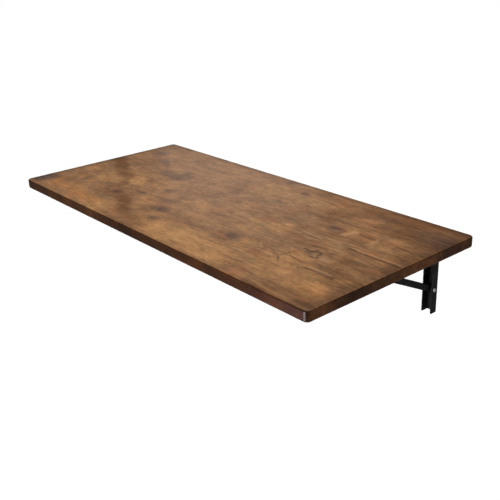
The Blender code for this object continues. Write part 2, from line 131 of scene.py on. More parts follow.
def setStudio():
    scene = bpy.context.scene
    scene.view_settings.view_transform = "Standard"
    world = bpy.data.worlds.new("studioSky")
    world.use_nodes = True
    sky = world.node_tree.nodes["Background"]
    sky.inputs["Color"].default_value = (*studio["skyTone"], 1)
    sky.inputs["Strength"].default_value = studio["skyPower"]
    scene.world = world
    lean = Vector(studio["lampLean"])
    lamp = addLamp("skyLamp", "SUN", studio["lampPlace"], lean, studio["lampPower"])
    lamp.data.angle = math.radians(studio["lampWidth"])
    for name, place, aim, width, height, watts, tone in studio["boxes"]:
        box = addLamp(name, "AREA", place, Vector(aim) - Vector(place), watts)
        box.data.shape = "RECTANGLE"
        box.data.size = width
        box.data.size_y = height
        box.data.color = tone
        box.visible_diffuse = False
    bm = bmesh.new()
    bmesh.ops.create_grid(bm, x_segments=1, y_segments=1, size=studio["floorSize"] / 2)
    floor, shader = addStage("floor", bm)
    floor.location = (0, 0, -studio["floorDrop"])
    shader.inputs["Base Color"].default_value = (*studio["floorTone"], 1)
    shader.inputs["Roughness"].default_value = studio["floorRough"]
    bm = bmesh.new()
    cuts, radius = studio["surroundCuts"], studio["surroundRadius"]
    bmesh.ops.create_icosphere(bm, subdivisions=cuts, radius=radius)
    surround, shader = addStage("surround", bm)
    surround.visible_diffuse = False    # only a background, it sheds no light
    surround.visible_shadow = False
    shader.inputs["Base Color"].default_value = (0, 0, 0, 1)
    shader.inputs["Specular IOR Level"].default_value = 0.0
    shader.inputs["Emission Color"].default_value = (*studio["surroundTone"], 1)
    shader.inputs["Emission Strength"].default_value = 1.0


setCamera()
setStudio()
print("camera and studio set")


# small helpers for the finishes
def startFinish(name):
    mat = bpy.data.materials.new(name)
    mat.use_nodes = True
    tree = mat.node_tree
    return mat, tree, tree.nodes["Principled BSDF"]


def plug(tree, socket, value):
    if isinstance(value, bpy.types.NodeSocket):
        tree.links.new(value, socket)
    else:
        socket.default_value = value


def put(tree, kind, plugs, out=0, **settings):
    made = tree.nodes.new("ShaderNode" + kind)
    for key, value in settings.items():
        setattr(made, key, value)
    for key, value in plugs.items():
        plug(tree, made.inputs[key], value)
    return made.outputs[out]


def sums(tree, operation, a, b=0.0, c=0.0):
    return put(tree, "Math", {0: a, 1: b, 2: c}, operation=operation)


def times(tree, a, b):
    return sums(tree, "MULTIPLY", a, b)


def vectors(tree, operation, a, b=(0, 0, 0), out=0):
    return put(tree, "VectorMath", {0: a, 1: b}, out=out, operation=operation)


def scaled(tree, vector, factor):
    return put(tree, "VectorMath", {0: vector, "Scale": factor}, operation="SCALE")


def spread(tree, value, low, high, toLow=0.0, toHigh=1.0, curve="SMOOTHSTEP"):
    plugs = {"Value": value, "From Min": low, "From Max": high, "To Min": toLow, "To Max": toHigh}
    return put(tree, "MapRange", plugs, interpolation_type=curve)


def tint(tree, share, under, over, mode="MIX"):
    plugs = {0: share, 6: under, 7: over}
    return put(tree, "Mix", plugs, out=2, data_type="RGBA", blend_type=mode)


def cloud(tree, vector, scale, detail=2.0, rough=0.5, out=0):
    plugs = {"Vector": vector, "Scale": scale, "Detail": detail, "Roughness": rough}
    return put(tree, "TexNoise", plugs, out=out)


def toneRamp(tree, share, stops):
    made = tree.nodes.new("ShaderNodeValToRGB")
    plug(tree, made.inputs[0], share)
    band = made.color_ramp.elements
    band[0].position, band[0].color = stops[0][0], (*stops[0][1], 1)
    band[1].position, band[1].color = stops[-1][0], (*stops[-1][1], 1)
    for place, tone in stops[1:-1]:
        added = band.new(place)
        added.color = (*tone, 1)
    return made.outputs[0]


def addBump(tree, shader, height, strength, distance):
    bump = put(tree, "Bump", {"Height": height, "Strength": strength, "Distance": distance})
    plug(tree, shader.inputs["Normal"], bump)


# stained wood. Places are metres along the panel from its left end, then out from the wall edge
woodPanel = {
    "boardWidth": 0.120,    # glued from boards this wide
    "firstJoint": 0.023,
    "boardShift": 7.0,      # each board's grain is moved along by up to this
    "boardTone": 0.06,      # and its tone by up to half of this
    "lowerShift": (0.63, 0.31, 0),
    "tones": {
        "umber": (0.130, 0.056, 0.021),
        "chestnut": (0.258, 0.126, 0.055),
        "honey": (0.400, 0.202, 0.076),
        # painted sheen: a pale grey haze standing in for the sheen on the middle and back of the top
        "fawn": (0.320, 0.168, 0.084),
        "flame": (0.134, 0.052, 0.015),
        "moss": (0.200, 0.128, 0.062),
        "blush": (0.300, 0.112, 0.045),
        "smoke": (0.105, 0.058, 0.038),
        "ringDark": (0.075, 0.032, 0.014),
        "ringLight": (0.440, 0.230, 0.095),
        "wisp": (0.560, 0.320, 0.150),
        "knotDark": (0.035, 0.017, 0.010),
        "amber": (0.430, 0.180, 0.050),
        "plum": (0.170, 0.102, 0.082),
        "garnet": (0.100, 0.034, 0.016),
    },
    "mottleTones": [(0.24, "umber"), (0.50, "chestnut"), (0.74, "honey")],
    # sides and ends are darker than the faces, partly stain and partly painted shade; their shades run from
    # the left end to the right
    "longSides": {
        "stain": (0.265, 0.165, 0.052),
        "gain": 1.42,
        "shades": [
            (0.0, 0.55), (0.23, 0.85), (0.40, 0.60), (0.62, 0.52),
            # the rise towards the right end is painted sheen near the front right corner
            (0.71, 0.85), (0.80, 0.75), (1.0, 1.0),
        ],
    },
    # and from the wall to the front; the dark last stop is painted shade on the rounded front corner
    "ends": {
        "stain": (0.262, 0.194, 0.125),
        "gain": 2.1,
        "shades": [
            (0.0, 0.42), (0.15, 0.48), (0.39, 0.64), (0.53, 0.48), (0.66, 0.24),
            (0.78, 0.22), (0.89, 0.46), (0.96, 0.90), (1.0, 0.35),
        ],
    },
    "arrisShade": 0.72,     # painted shade: the rounded arris is darker still
    "rimWidths": (0.040, 0.022, 0.045),     # darker in from the left, wall and right edges, partly painted shade along the rounded edges
    "rimStart": 0.004,
    "rimShade": 0.57,
    # clouds that are the same every way: scale, detail, roughness
    "driftCloud": (11.0, 3.0, 0.6),
    "jitterCloud": (75.0, 2.0, 0.5),
    "mottleCloud": (8.5, 5.0, 0.62),
    "hairCloud": (170.0, 2.0, 0.5),
    "jitterStretch": (0.6, 1, 1),
    "drift": (0.066, 0.034, 0),     # how far stains wander
    "jitter": (0.014, 0.007, 0),    # and knots and hairlines
    # drawn out clouds: stretch along, across and through the boards, detail, roughness
    "layers": {
        "wave": ((2.2, 7.0, 1), 2.0, 0.5),
        "ripple": ((9.0, 26.0, 1), 2.0, 0.5),
        "bands": ((2.6, 62.0, 45.0), 4.0, 0.62),
        "streaks": ((5.0, 150.0, 150.0), 3.0, 0.6),
        "fibres": ((14.0, 330.0, 330.0), 3.0, 0.6),
        "flecks": ((20.0, 52.0, 52.0), 4.0, 0.65),
        "specks": ((95.0, 130.0, 130.0), 3.0, 0.6),
        "pores": ((70.0, 1500.0, 1500.0), 1.0, 0.5),
        "rings": ((1.3, 20.0, 20.0), 2.0, 0.5),
        "breaks": ((6.0, 70.0, 70.0), 2.0, 0.5),
        "blush": ((15.0, 25.0, 1), 4.0, 0.6),
    },
    "sway": {"wave": 0.030, "ripple": 0.017},       # metres that the grain sways by
    "ringCount": 9.0,
    "knotStretch": 0.62,    # a knot's width over its length
    "knotBow": 0.6,
    "shares": {"ringDark": 0.50, "ringLight": 0.30, "halo": 0.40, "core": 0.80},
    # spans that turn a measure into a share: from, to, and the share at each if not 0 and 1
    "spans": {
        "below": (-0.3, -0.6),              # by the slope of the surface
        "upper": (0.2, 0.6),
        "side": (0.86, 0.55),
        "arrisOver": (0.90, 0.66),
        "arrisUnder": (0.05, 0.45),
        "end": (0.3, 0.8),
        "stain": (1.25, 0.40),              # by the distance from a mark, in half widths
        "core": (1.05, 0.35),
        "halo": (2.6, 0.5),
        "bow": (4.0, 0.2),
        "joint": (0.4915, 0.4990),          # by the distance from a board's middle, in widths
        "crisp": (0.45, 0.95, 0.30, 1.0),   # by the place along the panel
        "plain": (0.95, 0.40, 0.0, 0.65),
        "ringDark": (0.11, 0.0),            # by the value of a cloud, from here on
        "ringLight": (0.36, 0.50),
        "darkBreaks": (0.42, 0.60),
        "lightBreaks": (0.58, 0.40),
        "blush": (0.53, 0.72, 0.0, 0.75),
        "moss": (0.47, 0.28, 0.0, 0.65),
        "bands": (0.36, 0.66, 0.92, 1.065, "LINEAR"),
        "fibres": (0.36, 0.64, 0.88, 1.07, "LINEAR"),
        "streaks": (0.34, 0.45, 0.83, 1.01),
        "flecks": (0.34, 0.64, 0.80, 1.15),
        "specks": (0.34, 0.66, 0.86, 1.13, "LINEAR"),
        "pores": (0.30, 0.46, 0.86, 1.0),
        "hairBreaks": (0.34, 0.58, 0.50, 1.0),
        "jointShow": (0.42, 0.62, 0.10, 0.45),
        "rough": (0.25, 0.75, 0.40, 0.52, "LINEAR"),
    },
    "strokeFade": (1.5, 0.2),       # a hairline or wisp fades between these half widths
    "specular": 0.05,
    "coat": 0.25,
    "coatRough": 0.22,
    "relief": {"fibres": 0.6, "pores": 0.25, "joint": 0.8},
    "bump": 0.25,
    "bumpDepth": 0.0004,
    # knots: along, out, half width, depth of tone
    "knots": [
        (1.014, 0.332, 0.014, 0.50),
        (0.941, 0.190, 0.012, 0.42),
        (0.801, 0.398, 0.014, 0.34),
        (0.522, 0.409, 0.012, 0.34),
        (0.562, 0.461, 0.010, 0.26),
        (0.367, 0.368, 0.006, 0.60),
        (0.310, 0.414, 0.010, 0.40),
        (0.405, 0.306, 0.009, 0.26),
        (0.703, 0.064, 0.008, 0.42),
        (0.664, 0.388, 0.006, 0.40),
        (0.130, 0.405, 0.007, 0.30),
    ],
    # stains and painted sheen: tone, along, out, half length, half width, slant in degrees, share
    "stains": [
        # fawn rows: painted sheen on the middle and back of the top
        ("fawn", 0.430, 0.140, 0.420, 0.170, 0, 0.45),
        ("fawn", 0.620, 0.330, 0.300, 0.090, 0, 0.30),
        ("fawn", 0.850, 0.195, 0.050, 0.035, 0, 0.50),
        ("fawn", 0.900, 0.330, 0.090, 0.030, 0, 0.35),
        ("honey", 0.640, 0.385, 0.060, 0.035, 0, 0.35),
        ("honey", 0.250, 0.270, 0.060, 0.030, 0, 0.30),
        ("flame", 1.050, 0.195, 0.050, 0.028, 0, 0.45),
        ("honey", 0.260, 0.318, 0.055, 0.034, 20, 0.85),
        ("honey", 0.270, 0.365, 0.040, 0.016, 30, 0.40),
        ("honey", 0.350, 0.262, 0.050, 0.030, 0, 0.35),
        ("honey", 0.720, 0.490, 0.200, 0.055, 0, 0.95),
        ("honey", 0.850, 0.505, 0.090, 0.030, 0, 0.70),
        ("honey", 0.340, 0.505, 0.080, 0.028, 0, 0.70),
        ("honey", 0.850, 0.405, 0.050, 0.035, 0, 0.55),
        ("honey", 0.900, 0.450, 0.100, 0.030, 0, 0.30),
        ("honey", 0.650, 0.105, 0.130, 0.050, -5, 0.40),
        ("honey", 1.050, 0.470, 0.140, 0.035, 0, 0.30),
        ("amber", 0.060, 0.480, 0.060, 0.030, 0, 0.50),
        ("amber", 0.170, 0.490, 0.110, 0.026, 0, 0.40),
        ("amber", 0.290, 0.500, 0.080, 0.026, 0, 0.45),
        ("amber", 0.110, 0.405, 0.040, 0.024, 0, 0.30),
        ("amber", 1.130, 0.470, 0.060, 0.024, 0, 0.30),
        ("amber", 0.010, 0.225, 0.030, 0.016, 0, 0.40),
        ("plum", 0.075, 0.092, 0.036, 0.018, 15, 0.60),
        ("plum", 0.172, 0.150, 0.034, 0.014, 20, 0.55),
        ("plum", 0.990, 0.058, 0.040, 0.026, 0, 0.55),
        ("plum", 0.470, 0.360, 0.060, 0.016, 5, 0.35),
        ("flame", 0.030, 0.236, 0.055, 0.028, 27, 0.90),
        ("flame", 0.090, 0.264, 0.060, 0.028, 30, 0.85),
        ("flame", 0.155, 0.294, 0.055, 0.028, 25, 0.75),
        ("flame", 0.205, 0.318, 0.035, 0.020, 40, 0.45),
        ("umber", 0.258, 0.366, 0.050, 0.018, 35, 0.60),
        ("garnet", 0.315, 0.412, 0.022, 0.022, 20, 0.70),
        ("flame", 0.345, 0.420, 0.036, 0.026, 45, 0.50),
        ("flame", 0.395, 0.447, 0.060, 0.024, 30, 0.75),
        ("flame", 0.455, 0.475, 0.055, 0.024, 22, 0.65),
        ("flame", 0.545, 0.505, 0.050, 0.022, 5, 0.45),
        ("flame", 1.000, 0.050, 0.120, 0.035, 4, 0.65),
        ("flame", 1.150, 0.085, 0.130, 0.065, 4, 0.80),
        ("flame", 1.180, 0.215, 0.060, 0.090, 0, 0.45),
        ("flame", 1.060, 0.120, 0.090, 0.030, 4, 0.45),
        ("flame", 1.090, 0.012, 0.150, 0.030, 0, 0.80),
        ("flame", 1.150, 0.120, 0.080, 0.040, 0, 0.40),
        ("flame", 1.160, 0.400, 0.060, 0.035, 0, 0.50),
        ("flame", 1.130, 0.505, 0.080, 0.030, 0, 0.35),
        ("flame", 0.860, 0.110, 0.050, 0.020, 0, 0.30),
        ("flame", 0.475, 0.360, 0.060, 0.014, 8, 0.30),
        ("smoke", 1.160, 0.085, 0.090, 0.050, 10, 0.50),
        ("smoke", 0.285, 0.212, 0.090, 0.024, 8, 0.50),
        ("smoke", 0.335, 0.202, 0.042, 0.026, -20, 0.45),
        ("smoke", 0.060, 0.110, 0.060, 0.028, 35, 0.45),
        ("smoke", 0.180, 0.160, 0.060, 0.020, 20, 0.40),
        ("smoke", 0.365, 0.094, 0.060, 0.014, 0, 0.25),
        ("smoke", 0.367, 0.367, 0.022, 0.012, 20, 0.50),
        ("smoke", 0.405, 0.307, 0.028, 0.018, 0, 0.40),
        ("smoke", 0.517, 0.409, 0.040, 0.020, 10, 0.60),
        ("smoke", 0.562, 0.461, 0.028, 0.016, -10, 0.50),
        ("smoke", 0.802, 0.397, 0.034, 0.024, 0, 0.55),
        ("smoke", 0.941, 0.191, 0.028, 0.020, 0, 0.55),
        ("smoke", 0.705, 0.064, 0.030, 0.014, 20, 0.50),
        ("smoke", 0.603, 0.022, 0.022, 0.016, 30, 0.50),
        ("smoke", 0.022, 0.488, 0.055, 0.045, 0, 0.95),
        ("smoke", 0.130, 0.405, 0.034, 0.014, 80, 0.35),
        ("smoke", 0.640, 0.195, 0.050, 0.020, -10, 0.25),
    ],
    # dark hairlines and checks: points along and out, half width, share
    "hairlines": [
        (((0.925, 0.385), (0.950, 0.393), (0.964, 0.397)), 0.0030, 0.48),
        (((0.970, 0.355), (0.968, 0.378), (0.964, 0.397)), 0.0032, 0.62),
        (((0.964, 0.397), (0.976, 0.408), (0.989, 0.420)), 0.0030, 0.55),
        (((0.906, 0.271), (0.940, 0.266), (0.969, 0.267)), 0.0026, 0.70),
        (((0.926, 0.268), (0.946, 0.266)), 0.0040, 0.75),
        (((0.947, 0.286), (0.978, 0.279)), 0.0024, 0.55),
        (((0.975, 0.304), (1.018, 0.297)), 0.0032, 0.70),
        (((0.979, 0.329), (0.997, 0.330), (1.009, 0.318)), 0.0042, 0.72),
        (((0.996, 0.332), (1.002, 0.326)), 0.0056, 0.75),
        (((1.022, 0.322), (1.030, 0.341)), 0.0042, 0.75),
        (((1.018, 0.352), (1.036, 0.348)), 0.0036, 0.70),
        (((1.024, 0.322), (1.042, 0.310)), 0.0056, 0.40),
        (((0.856, 0.159), (0.899, 0.146), (0.980, 0.149)), 0.0026, 0.65),
        (((0.980, 0.149), (1.055, 0.152)), 0.0018, 0.45),
        (((1.007, 0.179), (1.035, 0.181), (1.059, 0.182)), 0.0034, 0.65),
        (((1.041, 0.410), (1.064, 0.400), (1.133, 0.402)), 0.0038, 0.58),
        (((1.043, 0.368), (1.135, 0.374)), 0.0020, 0.55),
        (((1.050, 0.260), (1.100, 0.262), (1.195, 0.261)), 0.0028, 0.75),
        (((0.860, 0.120), (0.875, 0.150)), 0.0018, 0.50),
        (((0.640, 0.150), (0.790, 0.152)), 0.0016, 0.40),
        (((1.120, 0.180), (1.195, 0.182)), 0.0022, 0.45),
    ],
    # pale scratches and flashes in the grain, given in the same way
    "wisps": [
        (((0.982, 0.206), (0.992, 0.178)), 0.0090, 0.32),
        (((1.012, 0.336), (1.022, 0.334)), 0.0050, 0.35),
        (((1.048, 0.346), (1.070, 0.344)), 0.0090, 0.35),
        (((1.062, 0.180), (1.066, 0.210)), 0.0090, 0.25),
        (((0.905, 0.257), (0.965, 0.260)), 0.0034, 0.30),
        (((1.050, 0.253), (1.190, 0.252)), 0.0030, 0.30),
        (((0.900, 0.404), (0.955, 0.406)), 0.0036, 0.28),
        (((1.060, 0.393), (1.120, 0.392)), 0.0036, 0.25),
        (((0.880, 0.375), (0.900, 0.392)), 0.0040, 0.22),
        (((1.020, 0.345), (1.045, 0.335)), 0.0040, 0.25),
        (((0.700, 0.425), (0.760, 0.430)), 0.0060, 0.20),
        (((0.860, 0.440), (0.930, 0.446)), 0.0060, 0.20),
    ],
}


def softSpot(tree, place, along, out, halfLength, halfWidth, slant):
    # 1 in the middle of an oval, 0 past its rim
    off = vectors(tree, "SUBTRACT", place, (along, out, 0))
    if slant:
        plugs = {"Vector": off, "Angle": -math.radians(slant)}
        off = put(tree, "VectorRotate", plugs, rotation_type="Z_AXIS")
    flat = vectors(tree, "MULTIPLY", off, (1 / halfLength, 1 / halfWidth, 0))
    far = vectors(tree, "LENGTH", flat, out=1)
    return spread(tree, far, *woodPanel["spans"]["stain"])


def strokeNear(tree, place, start, end, halfWidth):
    # 1 on the line from start to end, 0 beside it
    run = Vector((*end, 0)) - Vector((*start, 0))
    off = vectors(tree, "SUBTRACT", place, (*start, 0))
    along = vectors(tree, "DOT_PRODUCT", off, tuple(run / run.length_squared), out=1)
    share = sums(tree, "MINIMUM", sums(tree, "MAXIMUM", along), 1.0)
    far = vectors(tree, "DISTANCE", off, scaled(tree, tuple(run), share), out=1)
    outer, inner = woodPanel["strokeFade"]
    return spread(tree, far, halfWidth * outer, halfWidth * inner)


def drawStrokes(tree, place, lines):
    drawn = 0.0
    for points, halfWidth, share in lines:
        for start, end in zip(points, points[1:]):
            near = strokeNear(tree, place, start, end, halfWidth)
            drawn = sums(tree, "MAXIMUM", times(tree, near, share), drawn)
    return drawn


def sideStainAndShade(tree, share, side):
    # grey shades along a side, partly painted shade and sheen, over its stain
    greys = [(place, (shade, shade, shade)) for place, shade in side["shades"]]
    ramp = toneRamp(tree, share, greys)
    return vectors(tree, "MULTIPLY", scaled(tree, ramp, side["gain"]), side["stain"])


def stainedWood():
    wood = woodPanel
    mat, tree, shader = startFinish("stainedWood")
    low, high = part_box("worktop")
    length, depth = high.x - low.x, high.y - low.y
    coords = tree.nodes.new("ShaderNodeTexCoord")
    plan = put(tree, "Mapping", {"Vector": coords.outputs["Object"], "Scale": (1, -1, 1),
                                 "Location": (-low.x, high.y, -low.z)})
    split = tree.nodes.new("ShaderNodeSeparateXYZ")
    plug(tree, split.inputs[0], plan)
    alongX, outY, upZ = split.outputs
    facing = tree.nodes.new("ShaderNodeSeparateXYZ")
    plug(tree, facing.inputs[0], coords.outputs["Normal"])
    flatPlan = put(tree, "CombineXYZ", {0: alongX, 1: outY})

    def span(value, name):
        return spread(tree, value, *wood["spans"][name])

    def layer(place, name):
        stretch, detail, rough = wood["layers"][name]
        return cloud(tree, vectors(tree, "MULTIPLY", place, stretch), 1.0, detail, rough)

    # mixes towards a listed tone: stain, grain and knots, and also painted sheen
    def towardsTone(tone, share, name):
        return tint(tree, share, tone, (*wood["tones"][name], 1))

    # places that wander, so that the listed stains and knots get uneven rims;
    # the lower face has other stains
    middle = (0.5, 0.5, 0.5)
    drift = vectors(tree, "SUBTRACT", cloud(tree, flatPlan, *wood["driftCloud"], out=1), middle)
    stainPlace = vectors(tree, "ADD", flatPlan, vectors(tree, "MULTIPLY", drift, wood["drift"]))
    below = span(facing.outputs[2], "below")
    upper = span(facing.outputs[2], "upper")
    stainPlace = vectors(tree, "ADD", stainPlace, scaled(tree, wood["lowerShift"], below))
    jitter = vectors(tree, "MULTIPLY", flatPlan, wood["jitterStretch"])
    jitter = vectors(tree, "SUBTRACT", cloud(tree, jitter, *wood["jitterCloud"], out=1), middle)
    knotPlace = vectors(tree, "ADD", flatPlan, vectors(tree, "MULTIPLY", jitter, wood["jitter"]))

    # knots: dark core, softer halo, and the grain bowed round them
    core, halo, bow = 0.0, 0.0, 0.0
    for along, out, half, darkness in wood["knots"]:
        off = vectors(tree, "SUBTRACT", knotPlace, (along, out, 0))
        flat = vectors(tree, "MULTIPLY", off, (wood["knotStretch"] / half, 1 / half, 0))
        far = vectors(tree, "LENGTH", flat, out=1)
        core = sums(tree, "MULTIPLY_ADD", span(far, "core"), darkness, core)
        halo = sums(tree, "MULTIPLY_ADD", span(far, "halo"), darkness, halo)
        lean = sums(tree, "SUBTRACT", outY, out)
        near = span(far, "bow")
        bow = sums(tree, "MULTIPLY_ADD", near, times(tree, lean, wood["knotBow"]), bow)

    # boards: each has its own grain and a slight tone of its own
    board = sums(tree, "SUBTRACT", outY, wood["firstJoint"])
    board = sums(tree, "DIVIDE", board, wood["boardWidth"])
    number = sums(tree, "FLOOR", board)
    boardChance = put(tree, "TexWhiteNoise", {"W": number}, noise_dimensions="1D")
    joint = sums(tree, "SUBTRACT", sums(tree, "FRACT", board), 0.5)
    joint = span(sums(tree, "ABSOLUTE", joint), "joint")

    # grain along the panel, slowly wavy
    lift = outY
    for name, sway in wood["sway"].items():
        swing = sums(tree, "SUBTRACT", layer(flatPlan, name), 0.5)
        lift = sums(tree, "MULTIPLY_ADD", swing, sway, lift)
    lift = sums(tree, "SUBTRACT", lift, bow)
    grainX = sums(tree, "MULTIPLY_ADD", boardChance, wood["boardShift"], alongX)
    grain = put(tree, "CombineXYZ", {0: grainX, 1: lift, 2: upZ})
    layers = {}
    for name in ("bands", "streaks", "fibres", "flecks", "specks", "pores"):
        layers[name] = layer(grain, name)

    # year rings drawn out along the boards, crisper towards the right end
    ring = times(tree, layer(grain, "rings"), wood["ringCount"])
    ring = sums(tree, "PINGPONG", ring, 0.5)
    breaks = layer(grain, "breaks")
    crisp = span(alongX, "crisp")
    ringDark = times(tree, span(ring, "ringDark"), span(breaks, "darkBreaks"))
    ringLight = times(tree, span(ring, "ringLight"), span(breaks, "lightBreaks"))

    # stain and painted sheen: mottled tone, then the listed clouds
    mottle = cloud(tree, stainPlace, *wood["mottleCloud"])
    chance = sums(tree, "SUBTRACT", boardChance, 0.5)
    mottle = sums(tree, "MULTIPLY_ADD", chance, wood["boardTone"], mottle)
    stops = [(place, wood["tones"][name]) for place, name in wood["mottleTones"]]
    tone = toneRamp(tree, mottle, stops)
    blush = layer(stainPlace, "blush")
    for name in ("blush", "moss"):
        tone = towardsTone(tone, span(blush, name), name)
    for name, *oval, share in wood["stains"]:
        spot = softSpot(tree, stainPlace, *oval)
        tone = towardsTone(tone, times(tree, spot, share), name)

    # grain over the stain, the long lines fainter towards the left
    plain = span(alongX, "plain")
    shade = span(layers["bands"], "bands")
    for name in ("fibres", "streaks"):
        shade = times(tree, shade, span(layers[name], name))
    shade = spread(tree, plain, 0.0, 1.0, shade, 1.0, "LINEAR")
    for name in ("flecks", "specks", "pores"):
        shade = times(tree, shade, span(layers[name], name))
    tone = tint(tree, 1.0, tone, shade, "MULTIPLY")
    shares = wood["shares"]
    darkShare = times(tree, times(tree, ringDark, crisp), shares["ringDark"])
    lightShare = times(tree, times(tree, ringLight, crisp), shares["ringLight"])
    tone = towardsTone(tone, darkShare, "ringDark")
    tone = towardsTone(tone, lightShare, "ringLight")
    tone = towardsTone(tone, times(tree, halo, shares["halo"]), "smoke")
    tone = towardsTone(tone, times(tree, core, shares["core"]), "knotDark")

    # hairlines, wisps and the glue lines between the boards
    hair = times(tree, drawStrokes(tree, knotPlace, wood["hairlines"]), upper)
    hairBreaks = cloud(tree, flatPlan, *wood["hairCloud"])
    hair = times(tree, hair, span(hairBreaks, "hairBreaks"))
    wisp = times(tree, drawStrokes(tree, knotPlace, wood["wisps"]), upper)
    tone = towardsTone(tone, wisp, "wisp")
    jointShow = times(tree, joint, span(mottle, "jointShow"))
    tone = towardsTone(tone, sums(tree, "MAXIMUM", hair, jointShow), "knotDark")

    # darker along the rims of the top, partly painted shade; the sides and ends darker still, partly stain and
    # partly painted shade
    fromRight = sums(tree, "SUBTRACT", length, alongX)
    for inward, width in zip((alongX, outY, fromRight), wood["rimWidths"]):
        rimDarkening = spread(tree, inward, wood["rimStart"], width, wood["rimShade"], 1.0, "LINEAR")
        inside = spread(tree, inward, 0.0, wood["rimStart"])
        tone = tint(tree, inside, tone, tint(tree, 1.0, tone, rimDarkening, "MULTIPLY"))
    steep = sums(tree, "ABSOLUTE", facing.outputs[2])
    longStainAndShade = sideStainAndShade(tree, sums(tree, "DIVIDE", alongX, length), wood["longSides"])
    toEnd = span(sums(tree, "ABSOLUTE", facing.outputs[0]), "end")
    endStainAndShade = sideStainAndShade(tree, sums(tree, "DIVIDE", outY, depth), wood["ends"])
    # painted shade and sheen along the sides and ends, over their stain
    sideTone = tint(tree, 1.0, tone, tint(tree, toEnd, longStainAndShade, endStainAndShade), "MULTIPLY")
    # painted shade on the rounded arris between the top and the sides
    paintedArrisShade = times(tree, span(steep, "arrisOver"), span(steep, "arrisUnder"))
    paintedArrisShade = spread(tree, paintedArrisShade, 0.0, 1.0, 1.0, wood["arrisShade"])
    sideTone = tint(tree, 1.0, sideTone, paintedArrisShade, "MULTIPLY")
    tone = tint(tree, span(steep, "side"), tone, sideTone)
    plug(tree, shader.inputs["Base Color"], tone)

    plug(tree, shader.inputs["Roughness"], span(layers["fibres"], "rough"))
    shader.inputs["Specular IOR Level"].default_value = wood["specular"]
    shader.inputs["Coat Weight"].default_value = wood["coat"]
    shader.inputs["Coat Roughness"].default_value = wood["coatRough"]
    relief = wood["relief"]
    height = times(tree, layers["fibres"], relief["fibres"])
    height = sums(tree, "MULTIPLY_ADD", layers["pores"], relief["pores"], height)
    height = sums(tree, "SUBTRACT", height, times(tree, joint, relief["joint"]))
    addBump(tree, shader, height, wood["bump"], wood["bumpDepth"])
    return mat


# black powder coat on the bracket's sheet metal. Clouds are scale and detail
powderCoat = {
    "tone": (0.006, 0.006, 0.0065),
    "dust": (0.016, 0.0155, 0.015),
    "speckCloud": (900.0, 2.0),
    "hazeCloud": (28.0, 3.0),
    "dustSpan": (0.45, 0.8),
    "rough": (0.2, 0.8, 0.36, 0.52, "LINEAR"),
    "specular": 0.16,
    "bump": 0.20,
    "bumpDepth": 0.0002,
}


def blackCoat():
    coat = powderCoat
    mat, tree, shader = startFinish("blackPowderCoat")
    place = tree.nodes.new("ShaderNodeTexCoord").outputs["Object"]
    speck = cloud(tree, place, *coat["speckCloud"])
    haze = cloud(tree, place, *coat["hazeCloud"])
    dusty = spread(tree, haze, *coat["dustSpan"])
    tone = tint(tree, dusty, (*coat["tone"], 1), (*coat["dust"], 1))
    plug(tree, shader.inputs["Base Color"], tone)
    plug(tree, shader.inputs["Roughness"], spread(tree, haze, *coat["rough"]))
    shader.inputs["Specular IOR Level"].default_value = coat["specular"]
    addBump(tree, shader, speck, coat["bump"], coat["bumpDepth"])
    return mat


# bright zinc on pins, studs and screws
zincPlate = {
    "name": "brightZinc",
    "tone": (0.74, 0.74, 0.73),
    "dull": (0.52, 0.53, 0.53),
    "cloud": (260.0, 3.0),
    "dullSpan": (0.35, 0.75),
    "rough": (0.2, 0.8, 0.22, 0.40, "LINEAR"),
    "metal": 1.0,
}

# matt black nylon of the sleeves
nylon = {
    "name": "blackNylon",
    "tone": (0.020, 0.020, 0.021),
    "dull": (0.034, 0.034, 0.035),
    "cloud": (700.0, 2.0),
    "rough": (0.2, 0.8, 0.50, 0.66, "LINEAR"),
    "metal": 0.0,
}

# drawn steel wire of the springs
springWire = {
    "name": "springSteel",
    "tone": (0.34, 0.34, 0.35),
    "dull": (0.52, 0.52, 0.52),
    "cloud": (500.0, 2.0),
    "rough": (0.2, 0.8, 0.26, 0.42, "LINEAR"),
    "metal": 1.0,
}


def hazyFinish(look):
    mat, tree, shader = startFinish(look["name"])
    place = tree.nodes.new("ShaderNodeTexCoord").outputs["Object"]
    haze = cloud(tree, place, *look["cloud"])
    dulled = spread(tree, haze, *look["dullSpan"]) if "dullSpan" in look else haze
    tone = tint(tree, dulled, (*look["tone"], 1), (*look["dull"], 1))
    plug(tree, shader.inputs["Base Color"], tone)
    shader.inputs["Metallic"].default_value = look["metal"]
    plug(tree, shader.inputs["Roughness"], spread(tree, haze, *look["rough"]))
    return mat


finishes = {
    "stained_wood": stainedWood(),
    "black_powder_coat": blackCoat(),
    "zinc_plate": hazyFinish(zincPlate),
    "black_nylon": hazyFinish(nylon),
    "spring_steel": hazyFinish(springWire),
}
slotOf = {part["node"]: part["material_slot"] for part in frame["record"]["subparts"]}
bodyOf = {}
for body, names in frame["record"]["behaviour"]["bodies"].items():
    for name in names:
        bodyOf[name] = body
for name, obj in frame["nodes"].items():
    obj.data.materials.clear()
    obj.data.materials.append(finishes[slotOf[name]])
print("finishes set on", len(frame["nodes"]), "nodes")


# mesh helpers, all in metres
def arcPoints(middle, radius, start, end, steps):
    points = []
    for step in range(steps + 1):
        turn = math.radians(start + (end - start) * step / steps)
        points.append((middle[0] + radius * math.cos(turn), middle[1] + radius * math.sin(turn)))
    return points


def circlePoints(middle, radius, steps):
    return arcPoints(middle, radius, 0, 360, steps)[:-1]


def bridgeRings(bm, rings):
    # faces between rings of points, where a ring of one point is a pole
    for lower, upper in zip(rings, rings[1:]):
        count = max(len(lower), len(upper))
        for i in range(count):
            j = (i + 1) % count
            corners = [lower[i % len(lower)], lower[j % len(lower)]]
            corners += [upper[j % len(upper)], upper[i % len(upper)]]
            bm.faces.new(list(dict.fromkeys(corners)))


